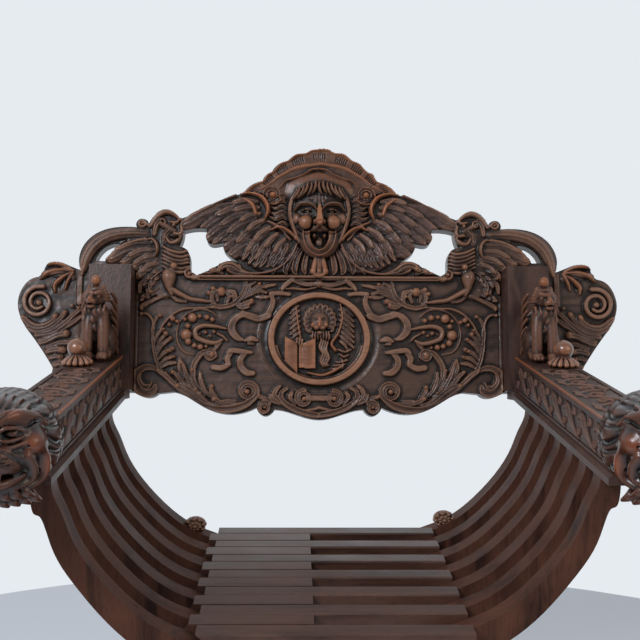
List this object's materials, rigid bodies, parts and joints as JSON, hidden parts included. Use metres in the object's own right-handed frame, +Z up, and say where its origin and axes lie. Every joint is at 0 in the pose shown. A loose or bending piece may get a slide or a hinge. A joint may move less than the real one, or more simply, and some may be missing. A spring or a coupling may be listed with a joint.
{
  "type": "savonarola chair",
  "caption": "Folding armchair of carved walnut: two sets of curved ribs crossing on a rod, slatted seat, arms ending in lion heads and a lift-off carved back.",
  "frame": {"origin": "floor level, at the middle of the chair's overall length and width", "axes": "+Z up, the sitter looks toward -Y, +X to the right hand of someone facing the front of the chair"},
  "size_m": [0.748, 0.6708, 0.9038],
  "materials": {
    "carved_walnut": "dark stained walnut, waxed, carved in relief and rubbed lighter on the high points",
    "polished_walnut": "red-brown walnut, french polished to a gloss",
    "plain_walnut": "dark stained walnut, plain and waxed, satin"
  },
  "bodies": {
    "frame_left": {"arm_left": "carved_walnut", "arm_strip_left": "plain_walnut", "post_bracket_left": "plain_walnut", "lion_head_left": "polished_walnut", "seated_lion_left": "carved_walnut", "lion_paw_left": "carved_walnut", "rib_left_1": "plain_walnut", "rib_left_2": "plain_walnut", "rib_left_3": "plain_walnut", "rib_left_4": "plain_walnut", "rib_left_5": "plain_walnut", "rib_left_6": "plain_walnut", "rib_left_7": "plain_walnut", "runner_right": "plain_walnut", "pivot_rod": "plain_walnut", "pivot_rosette_front": "carved_walnut", "pivot_rosette_rear": "carved_walnut", "seat_rod_left": "plain_walnut", "seat_rosette_left": "carved_walnut"},
    "frame_right": {"arm_right": "carved_walnut", "arm_strip_right": "plain_walnut", "post_bracket_right": "plain_walnut", "lion_head_right": "polished_walnut", "seated_lion_right": "carved_walnut", "lion_paw_right": "carved_walnut", "rib_right_1": "plain_walnut", "rib_right_2": "plain_walnut", "rib_right_3": "plain_walnut", "rib_right_4": "plain_walnut", "rib_right_5": "plain_walnut", "rib_right_6": "plain_walnut", "rib_right_7": "plain_walnut", "runner_left": "plain_walnut", "seat_rod_right": "plain_walnut", "seat_rosette_right": "carved_walnut"},
    "seat": {"seat_slat_1": "plain_walnut", "seat_slat_2": "plain_walnut", "seat_slat_3": "plain_walnut", "seat_slat_4": "plain_walnut", "seat_slat_5": "plain_walnut", "seat_slat_6": "plain_walnut", "seat_slat_7": "plain_walnut", "seat_comb": "plain_walnut"},
    "back": {"post_left": "carved_walnut", "post_right": "carved_walnut", "back_board": "carved_walnut", "crest_shell": "carved_walnut", "crest_mask": "carved_walnut", "crest_wing_left": "carved_walnut", "crest_wing_right": "carved_walnut", "griffin_left": "carved_walnut", "griffin_right": "carved_walnut", "ear_leaf_left": "carved_walnut", "ear_leaf_right": "carved_walnut", "ledge_moulding": "carved_walnut", "ribbon_knot": "carved_walnut", "medallion_ring": "carved_walnut", "medallion_lion": "carved_walnut"}
  },
  "joints": [
    {"name": "frame_fold", "type": "hinge", "parent": "frame_left", "child": "frame_right", "pos_m": [0, -0.052, 0.38], "axis": [0, -1, 0], "range_deg": [0, 58]},
    {"name": "seat_tilt", "type": "hinge", "parent": "frame_left", "child": "seat", "pos_m": [-0.118, -0.052, 0.4567], "axis": [0, -1, 0], "range_deg": [0, 29]},
    {"name": "back_lift", "type": "slide", "parent": "frame_left", "child": "back", "axis": [0, 0.2419, 0.9703], "range_m": [0, 0.3]}
  ],
  "couplings": [
    {"joint": "seat_tilt", "follows": "frame_fold", "ratio": 0.5},
    {"joint": "back_lift", "follows": "frame_fold", "m_per_rad": 0.2962}
  ]
}
